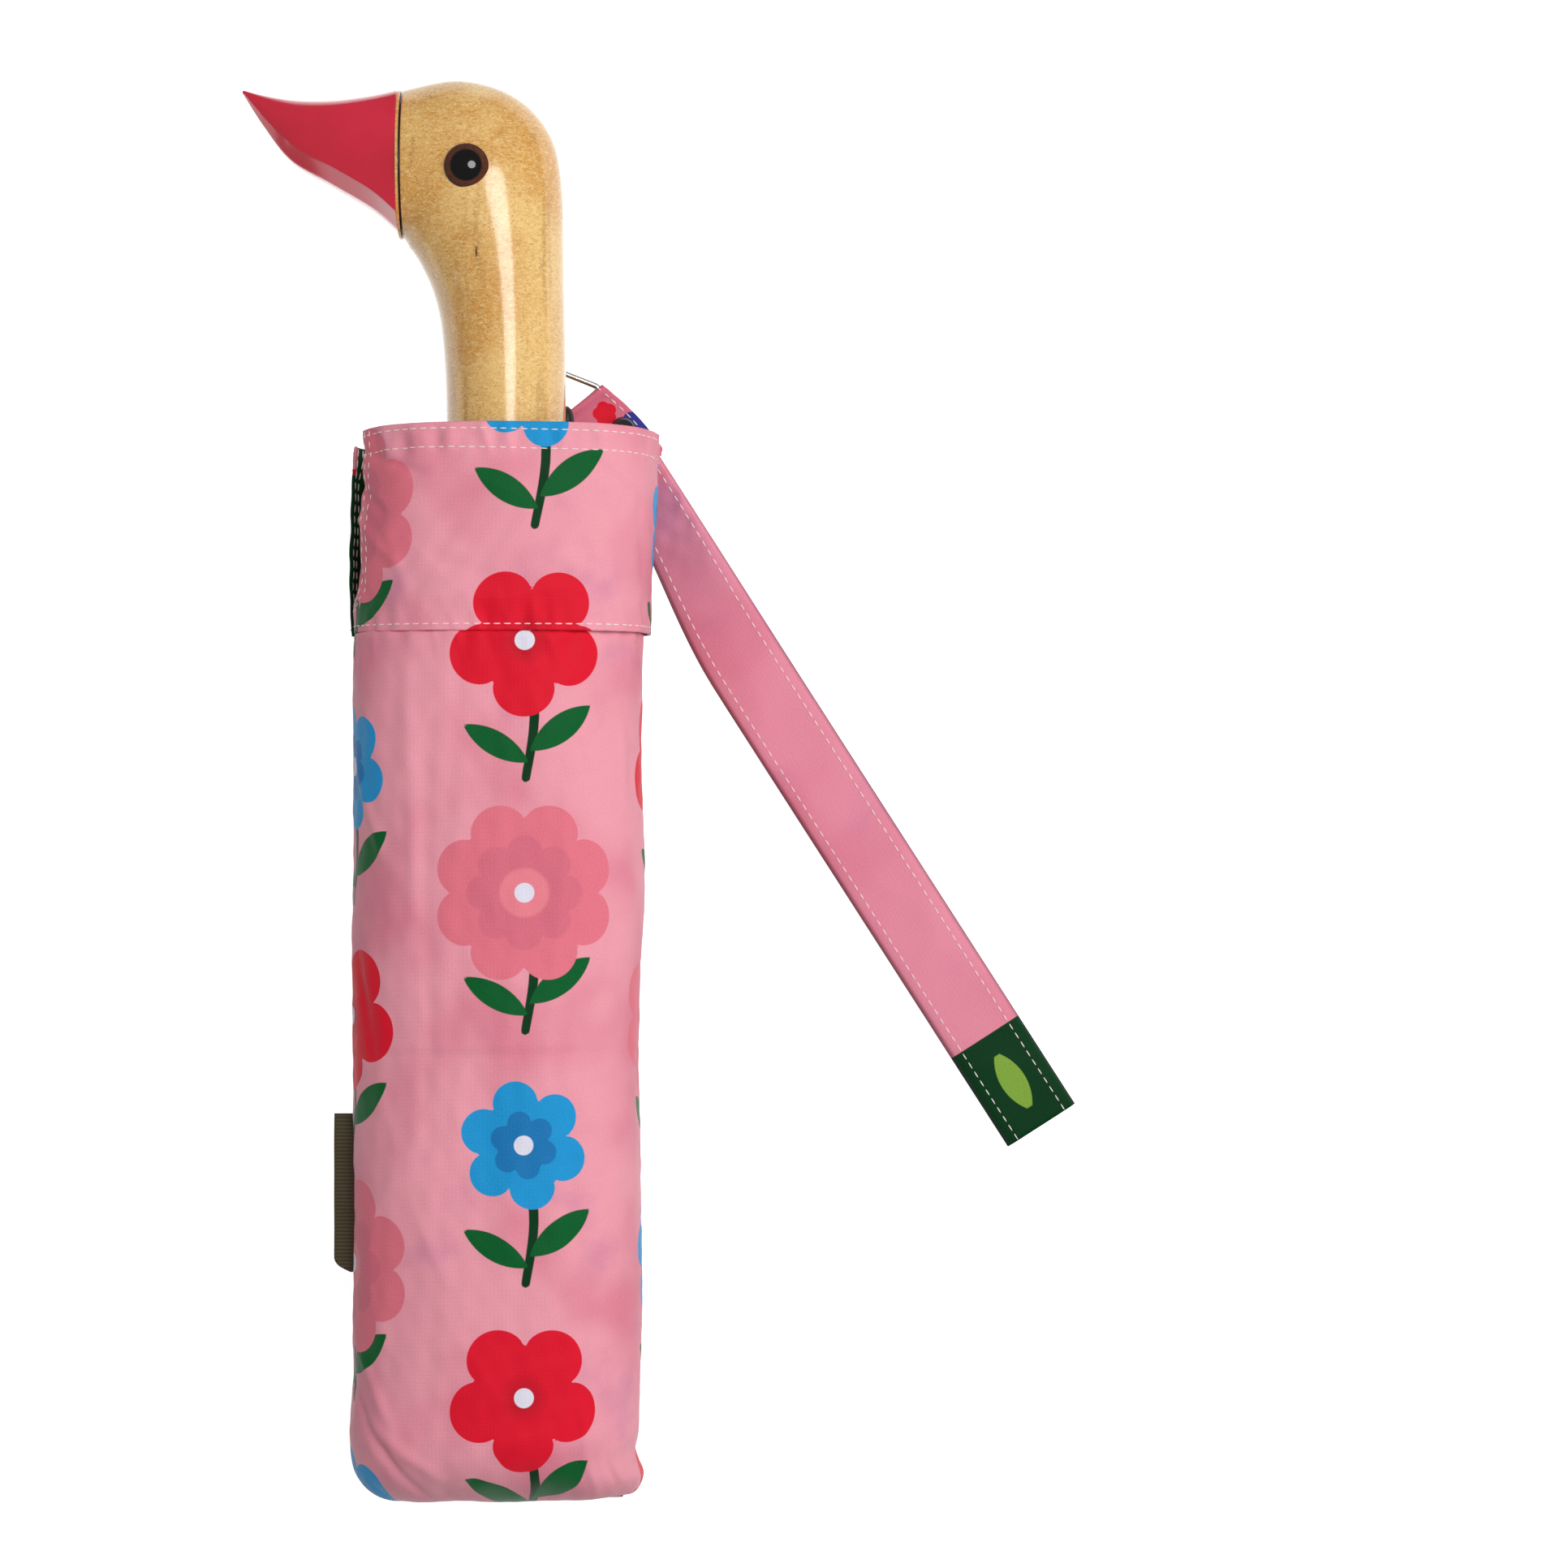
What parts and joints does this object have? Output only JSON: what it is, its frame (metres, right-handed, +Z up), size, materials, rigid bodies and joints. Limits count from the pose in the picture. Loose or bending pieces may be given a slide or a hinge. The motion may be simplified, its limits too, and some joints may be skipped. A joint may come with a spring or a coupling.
{
  "type": "folding umbrella",
  "caption": "Compact two-fold umbrella, closed in a cloth sleeve, with a carved bird-head handle, telescoping shaft, folding rib frame and canopy, sleeve strap and ring.",
  "frame": {"origin": "on the surface the closed umbrella lies on, under the middle of the shaft's axis at the middle of the sleeve's length", "axes": "+Y along the shaft towards the handle's head, +Z up from the surface, +X to the right seen from above with the head at the top"},
  "size_m": [0.2281, 0.3805, 0.055],
  "materials": {
    "varnished_wood": "clear varnish, satin",
    "red_lacquer": "gloss lacquer",
    "eye_glass": "polished dark",
    "printed_cloth": "plain-woven printed polyester",
    "label_cloth": "woven ribbon",
    "rib_steel": "black-painted steel",
    "tube_steel": "nickel plate",
    "black_plastic": "moulded",
    "chrome": "polished",
    "stud_black": "gloss black enamel"
  },
  "bodies": {
    "shaft": {"crown": "black_plastic", "crown_cap": "black_plastic", "upper_tube": "tube_steel"},
    "runner": {"runner": "black_plastic"},
    "button": {"runner_button": "tube_steel"},
    "handle": {"lower_tube": "tube_steel", "handle_collar": "black_plastic", "head": "varnished_wood", "beak": "red_lacquer", "eyes": "eye_glass"},
    "sleeve": {"sleeve_body": "printed_cloth", "sleeve_band": "printed_cloth", "sleeve_base": "printed_cloth", "label_tab": "label_cloth", "ring_tab": "printed_cloth", "press_stud": "stud_black"},
    "strap": {"strap": "printed_cloth"},
    "ring": {"ring": "chrome"},
    "inner_rib_1": {"inner_rib_1": "rib_steel"},
    "outer_rib_1": {"outer_rib_1": "rib_steel"},
    "stretcher_1": {"stretcher_1": "rib_steel"},
    "canopy_inner_1": {"canopy_inner_1": "printed_cloth"},
    "canopy_outer_1": {"canopy_outer_1": "printed_cloth"},
    "inner_rib_2": {"inner_rib_2": "rib_steel"},
    "outer_rib_2": {"outer_rib_2": "rib_steel"},
    "stretcher_2": {"stretcher_2": "rib_steel"},
    "canopy_inner_2": {"canopy_inner_2": "printed_cloth"},
    "canopy_outer_2": {"canopy_outer_2": "printed_cloth"},
    "inner_rib_3": {"inner_rib_3": "rib_steel"},
    "outer_rib_3": {"outer_rib_3": "rib_steel"},
    "stretcher_3": {"stretcher_3": "rib_steel"},
    "canopy_inner_3": {"canopy_inner_3": "printed_cloth"},
    "canopy_outer_3": {"canopy_outer_3": "printed_cloth"},
    "inner_rib_4": {"inner_rib_4": "rib_steel"},
    "outer_rib_4": {"outer_rib_4": "rib_steel"},
    "stretcher_4": {"stretcher_4": "rib_steel"},
    "canopy_inner_4": {"canopy_inner_4": "printed_cloth"},
    "canopy_outer_4": {"canopy_outer_4": "printed_cloth"},
    "inner_rib_5": {"inner_rib_5": "rib_steel"},
    "outer_rib_5": {"outer_rib_5": "rib_steel"},
    "stretcher_5": {"stretcher_5": "rib_steel"},
    "canopy_inner_5": {"canopy_inner_5": "printed_cloth"},
    "canopy_outer_5": {"canopy_outer_5": "printed_cloth"},
    "inner_rib_6": {"inner_rib_6": "rib_steel"},
    "outer_rib_6": {"outer_rib_6": "rib_steel"},
    "stretcher_6": {"stretcher_6": "rib_steel"},
    "canopy_inner_6": {"canopy_inner_6": "printed_cloth"},
    "canopy_outer_6": {"canopy_outer_6": "printed_cloth"},
    "inner_rib_7": {"inner_rib_7": "rib_steel"},
    "outer_rib_7": {"outer_rib_7": "rib_steel"},
    "stretcher_7": {"stretcher_7": "rib_steel"},
    "canopy_inner_7": {"canopy_inner_7": "printed_cloth"},
    "canopy_outer_7": {"canopy_outer_7": "printed_cloth"},
    "inner_rib_8": {"inner_rib_8": "rib_steel"},
    "outer_rib_8": {"outer_rib_8": "rib_steel"},
    "stretcher_8": {"stretcher_8": "rib_steel"},
    "canopy_inner_8": {"canopy_inner_8": "printed_cloth"},
    "canopy_outer_8": {"canopy_outer_8": "printed_cloth"}
  },
  "joints": [
    {"name": "runner_slide", "type": "slide", "parent": "shaft", "child": "runner", "axis": [0, -1, 0], "range_m": [0, 0.14538]},
    {"name": "sleeve_pull", "type": "slide", "parent": "shaft", "child": "sleeve", "axis": [0, -1, 0], "range_m": [0, 0.311], "deforming": ["sleeve_body", "sleeve_band", "sleeve_base", "label_tab", "ring_tab", "press_stud"]},
    {"name": "inner_rib_1_fold", "type": "hinge", "parent": "shaft", "child": "inner_rib_1", "pos_m": [0.009, -0.12, 0.0275], "axis": [0, 0, -1], "range_deg": [0, 76.93]},
    {"name": "outer_rib_1_fold", "type": "hinge", "parent": "inner_rib_1", "child": "outer_rib_1", "pos_m": [0.02041, 0.14176, 0.0275], "axis": [0, 0, -1], "range_deg": [-202.01, 0]},
    {"name": "stretcher_1_fold", "type": "hinge", "parent": "runner", "child": "stretcher_1", "pos_m": [0.009, 0.10287, 0.0275], "axis": [0, 0, 1], "range_deg": [0, 59.02]},
    {"name": "canopy_inner_1_spread", "type": "slide", "parent": "inner_rib_1", "child": "canopy_inner_1", "axis": [-0.0866, -0.3728, 0.9239], "range_m": [0, 0.19611], "deforming": ["canopy_inner_1"]},
    {"name": "canopy_outer_1_spread", "type": "slide", "parent": "outer_rib_1", "child": "canopy_outer_1", "axis": [0.2199, 0.3132, 0.9239], "range_m": [0, 0.36049], "deforming": ["canopy_outer_1"]},
    {"name": "inner_rib_2_fold", "type": "hinge", "parent": "shaft", "child": "inner_rib_2", "pos_m": [0.00636, -0.12, 0.03386], "axis": [0.7071, 0, -0.7071], "range_deg": [0, 76.93]},
    {"name": "outer_rib_2_fold", "type": "hinge", "parent": "inner_rib_2", "child": "outer_rib_2", "pos_m": [0.01443, 0.14176, 0.04193], "axis": [0.7071, 0, -0.7071], "range_deg": [-202.01, 0]},
    {"name": "stretcher_2_fold", "type": "hinge", "parent": "runner", "child": "stretcher_2", "pos_m": [0.00636, 0.10287, 0.03386], "axis": [-0.7071, 0, 0.7071], "range_deg": [0, 59.02]},
    {"name": "canopy_inner_2_spread", "type": "slide", "parent": "inner_rib_2", "child": "canopy_inner_2", "axis": [-0.7145, -0.3728, 0.592], "range_m": [0, 0.19611], "deforming": ["canopy_inner_2"]},
    {"name": "canopy_outer_2_spread", "type": "slide", "parent": "outer_rib_2", "child": "canopy_outer_2", "axis": [-0.4978, 0.3132, 0.8088], "range_m": [0, 0.36049], "deforming": ["canopy_outer_2"]},
    {"name": "inner_rib_3_fold", "type": "hinge", "parent": "shaft", "child": "inner_rib_3", "pos_m": [0, -0.12, 0.0365], "axis": [1, 0, 0], "range_deg": [0, 76.93]},
    {"name": "outer_rib_3_fold", "type": "hinge", "parent": "inner_rib_3", "child": "outer_rib_3", "pos_m": [0, 0.14176, 0.04791], "axis": [1, 0, 0], "range_deg": [-202.01, 0]},
    {"name": "stretcher_3_fold", "type": "hinge", "parent": "runner", "child": "stretcher_3", "pos_m": [0, 0.10287, 0.0365], "axis": [-1, 0, 0], "range_deg": [0, 59.02]},
    {"name": "canopy_inner_3_spread", "type": "slide", "parent": "inner_rib_3", "child": "canopy_inner_3", "axis": [-0.9239, -0.3728, -0.0866], "range_m": [0, 0.19611], "deforming": ["canopy_inner_3"]},
    {"name": "canopy_outer_3_spread", "type": "slide", "parent": "outer_rib_3", "child": "canopy_outer_3", "axis": [-0.9239, 0.3132, 0.2199], "range_m": [0, 0.36049], "deforming": ["canopy_outer_3"]},
    {"name": "inner_rib_4_fold", "type": "hinge", "parent": "shaft", "child": "inner_rib_4", "pos_m": [-0.00636, -0.12, 0.03386], "axis": [0.7071, 0, 0.7071], "range_deg": [0, 76.93]},
    {"name": "outer_rib_4_fold", "type": "hinge", "parent": "inner_rib_4", "child": "outer_rib_4", "pos_m": [-0.01443, 0.14176, 0.04193], "axis": [0.7071, 0, 0.7071], "range_deg": [-202.01, 0]},
    {"name": "stretcher_4_fold", "type": "hinge", "parent": "runner", "child": "stretcher_4", "pos_m": [-0.00636, 0.10287, 0.03386], "axis": [-0.7071, 0, -0.7071], "range_deg": [0, 59.02]},
    {"name": "canopy_inner_4_spread", "type": "slide", "parent": "inner_rib_4", "child": "canopy_inner_4", "axis": [-0.592, -0.3728, -0.7145], "range_m": [0, 0.19611], "deforming": ["canopy_inner_4"]},
    {"name": "canopy_outer_4_spread", "type": "slide", "parent": "outer_rib_4", "child": "canopy_outer_4", "axis": [-0.8088, 0.3132, -0.4978], "range_m": [0, 0.36049], "deforming": ["canopy_outer_4"]},
    {"name": "inner_rib_5_fold", "type": "hinge", "parent": "shaft", "child": "inner_rib_5", "pos_m": [-0.009, -0.12, 0.0275], "axis": [0, 0, 1], "range_deg": [0, 76.93]},
    {"name": "outer_rib_5_fold", "type": "hinge", "parent": "inner_rib_5", "child": "outer_rib_5", "pos_m": [-0.02041, 0.14176, 0.0275], "axis": [0, 0, 1], "range_deg": [-202.01, 0]},
    {"name": "stretcher_5_fold", "type": "hinge", "parent": "runner", "child": "stretcher_5", "pos_m": [-0.009, 0.10287, 0.0275], "axis": [0, 0, -1], "range_deg": [0, 59.02]},
    {"name": "canopy_inner_5_spread", "type": "slide", "parent": "inner_rib_5", "child": "canopy_inner_5", "axis": [0.0866, -0.3728, -0.9239], "range_m": [0, 0.19611], "deforming": ["canopy_inner_5"]},
    {"name": "canopy_outer_5_spread", "type": "slide", "parent": "outer_rib_5", "child": "canopy_outer_5", "axis": [-0.2199, 0.3132, -0.9239], "range_m": [0, 0.36049], "deforming": ["canopy_outer_5"]},
    {"name": "inner_rib_6_fold", "type": "hinge", "parent": "shaft", "child": "inner_rib_6", "pos_m": [-0.00636, -0.12, 0.02114], "axis": [-0.7071, 0, 0.7071], "range_deg": [0, 76.93]},
    {"name": "outer_rib_6_fold", "type": "hinge", "parent": "inner_rib_6", "child": "outer_rib_6", "pos_m": [-0.01443, 0.14176, 0.01307], "axis": [-0.7071, 0, 0.7071], "range_deg": [-202.01, 0]},
    {"name": "stretcher_6_fold", "type": "hinge", "parent": "runner", "child": "stretcher_6", "pos_m": [-0.00636, 0.10287, 0.02114], "axis": [0.7071, 0, -0.7071], "range_deg": [0, 59.02]},
    {"name": "canopy_inner_6_spread", "type": "slide", "parent": "inner_rib_6", "child": "canopy_inner_6", "axis": [0.7145, -0.3728, -0.592], "range_m": [0, 0.19611], "deforming": ["canopy_inner_6"]},
    {"name": "canopy_outer_6_spread", "type": "slide", "parent": "outer_rib_6", "child": "canopy_outer_6", "axis": [0.4978, 0.3132, -0.8088], "range_m": [0, 0.36049], "deforming": ["canopy_outer_6"]},
    {"name": "inner_rib_7_fold", "type": "hinge", "parent": "shaft", "child": "inner_rib_7", "pos_m": [0, -0.12, 0.0185], "axis": [-1, 0, 0], "range_deg": [0, 76.93]},
    {"name": "outer_rib_7_fold", "type": "hinge", "parent": "inner_rib_7", "child": "outer_rib_7", "pos_m": [0, 0.14176, 0.00709], "axis": [-1, 0, 0], "range_deg": [-202.01, 0]},
    {"name": "stretcher_7_fold", "type": "hinge", "parent": "runner", "child": "stretcher_7", "pos_m": [0, 0.10287, 0.0185], "axis": [1, 0, 0], "range_deg": [0, 59.02]},
    {"name": "canopy_inner_7_spread", "type": "slide", "parent": "inner_rib_7", "child": "canopy_inner_7", "axis": [0.9239, -0.3728, 0.0866], "range_m": [0, 0.19611], "deforming": ["canopy_inner_7"]},
    {"name": "canopy_outer_7_spread", "type": "slide", "parent": "outer_rib_7", "child": "canopy_outer_7", "axis": [0.9239, 0.3132, -0.2199], "range_m": [0, 0.36049], "deforming": ["canopy_outer_7"]},
    {"name": "inner_rib_8_fold", "type": "hinge", "parent": "shaft", "child": "inner_rib_8", "pos_m": [0.00636, -0.12, 0.02114], "axis": [-0.7071, 0, -0.7071], "range_deg": [0, 76.93]},
    {"name": "outer_rib_8_fold", "type": "hinge", "parent": "inner_rib_8", "child": "outer_rib_8", "pos_m": [0.01443, 0.14176, 0.01307], "axis": [-0.7071, 0, -0.7071], "range_deg": [-202.01, 0]},
    {"name": "stretcher_8_fold", "type": "hinge", "parent": "runner", "child": "stretcher_8", "pos_m": [0.00636, 0.10287, 0.02114], "axis": [0.7071, 0, 0.7071], "range_deg": [0, 59.02]},
    {"name": "canopy_inner_8_spread", "type": "slide", "parent": "inner_rib_8", "child": "canopy_inner_8", "axis": [0.592, -0.3728, 0.7145], "range_m": [0, 0.19611], "deforming": ["canopy_inner_8"]},
    {"name": "canopy_outer_8_spread", "type": "slide", "parent": "outer_rib_8", "child": "canopy_outer_8", "axis": [0.8088, 0.3132, 0.4978], "range_m": [0, 0.36049], "deforming": ["canopy_outer_8"]},
    {"name": "shaft_slide", "type": "slide", "parent": "shaft", "child": "handle", "axis": [0, 1, 0], "range_m": [0, 0.19]},
    {"name": "button_press", "type": "slide", "parent": "runner", "child": "button", "axis": [-0.3827, 0, -0.9239], "range_m": [0, 0.001], "stiffness_N_per_m": 800, "springref_m": -0.001},
    {"name": "strap_swing", "type": "hinge", "parent": "sleeve", "child": "strap", "pos_m": [0.0362, 0.1362, 0], "axis": [0, 0, 1], "range_deg": [-10, 75], "deforming": ["strap"]},
    {"name": "ring_swing", "type": "hinge", "parent": "sleeve", "child": "ring", "pos_m": [0.014, 0.1496, 0.0022], "axis": [0.7639, 0.6453, 0], "range_deg": [0, 20]}
  ],
  "couplings": [
    {"joint": "sleeve_pull", "follows": "runner_slide", "ratio": 2.1323},
    {"joint": "inner_rib_1_fold", "follows": "runner_slide", "rad_per_m": 9.2342},
    {"joint": "outer_rib_1_fold", "follows": "runner_slide", "rad_per_m": -24.25},
    {"joint": "stretcher_1_fold", "follows": "runner_slide", "rad_per_m": 7.0847},
    {"joint": "canopy_inner_1_spread", "follows": "runner_slide", "ratio": 1.3482},
    {"joint": "canopy_outer_1_spread", "follows": "runner_slide", "ratio": 2.4789},
    {"joint": "inner_rib_2_fold", "follows": "runner_slide", "rad_per_m": 9.2342},
    {"joint": "outer_rib_2_fold", "follows": "runner_slide", "rad_per_m": -24.25},
    {"joint": "stretcher_2_fold", "follows": "runner_slide", "rad_per_m": 7.0847},
    {"joint": "canopy_inner_2_spread", "follows": "runner_slide", "ratio": 1.3482},
    {"joint": "canopy_outer_2_spread", "follows": "runner_slide", "ratio": 2.4789},
    {"joint": "inner_rib_3_fold", "follows": "runner_slide", "rad_per_m": 9.2342},
    {"joint": "outer_rib_3_fold", "follows": "runner_slide", "rad_per_m": -24.25},
    {"joint": "stretcher_3_fold", "follows": "runner_slide", "rad_per_m": 7.0847},
    {"joint": "canopy_inner_3_spread", "follows": "runner_slide", "ratio": 1.3482},
    {"joint": "canopy_outer_3_spread", "follows": "runner_slide", "ratio": 2.4789},
    {"joint": "inner_rib_4_fold", "follows": "runner_slide", "rad_per_m": 9.2342},
    {"joint": "outer_rib_4_fold", "follows": "runner_slide", "rad_per_m": -24.25},
    {"joint": "stretcher_4_fold", "follows": "runner_slide", "rad_per_m": 7.0847},
    {"joint": "canopy_inner_4_spread", "follows": "runner_slide", "ratio": 1.3482},
    {"joint": "canopy_outer_4_spread", "follows": "runner_slide", "ratio": 2.4789},
    {"joint": "inner_rib_5_fold", "follows": "runner_slide", "rad_per_m": 9.2342},
    {"joint": "outer_rib_5_fold", "follows": "runner_slide", "rad_per_m": -24.25},
    {"joint": "stretcher_5_fold", "follows": "runner_slide", "rad_per_m": 7.0847},
    {"joint": "canopy_inner_5_spread", "follows": "runner_slide", "ratio": 1.3482},
    {"joint": "canopy_outer_5_spread", "follows": "runner_slide", "ratio": 2.4789},
    {"joint": "inner_rib_6_fold", "follows": "runner_slide", "rad_per_m": 9.2342},
    {"joint": "outer_rib_6_fold", "follows": "runner_slide", "rad_per_m": -24.25},
    {"joint": "stretcher_6_fold", "follows": "runner_slide", "rad_per_m": 7.0847},
    {"joint": "canopy_inner_6_spread", "follows": "runner_slide", "ratio": 1.3482},
    {"joint": "canopy_outer_6_spread", "follows": "runner_slide", "ratio": 2.4789},
    {"joint": "inner_rib_7_fold", "follows": "runner_slide", "rad_per_m": 9.2342},
    {"joint": "outer_rib_7_fold", "follows": "runner_slide", "rad_per_m": -24.25},
    {"joint": "stretcher_7_fold", "follows": "runner_slide", "rad_per_m": 7.0847},
    {"joint": "canopy_inner_7_spread", "follows": "runner_slide", "ratio": 1.3482},
    {"joint": "canopy_outer_7_spread", "follows": "runner_slide", "ratio": 2.4789},
    {"joint": "inner_rib_8_fold", "follows": "runner_slide", "rad_per_m": 9.2342},
    {"joint": "outer_rib_8_fold", "follows": "runner_slide", "rad_per_m": -24.25},
    {"joint": "stretcher_8_fold", "follows": "runner_slide", "rad_per_m": 7.0847},
    {"joint": "canopy_inner_8_spread", "follows": "runner_slide", "ratio": 1.3482},
    {"joint": "canopy_outer_8_spread", "follows": "runner_slide", "ratio": 2.4789}
  ]
}
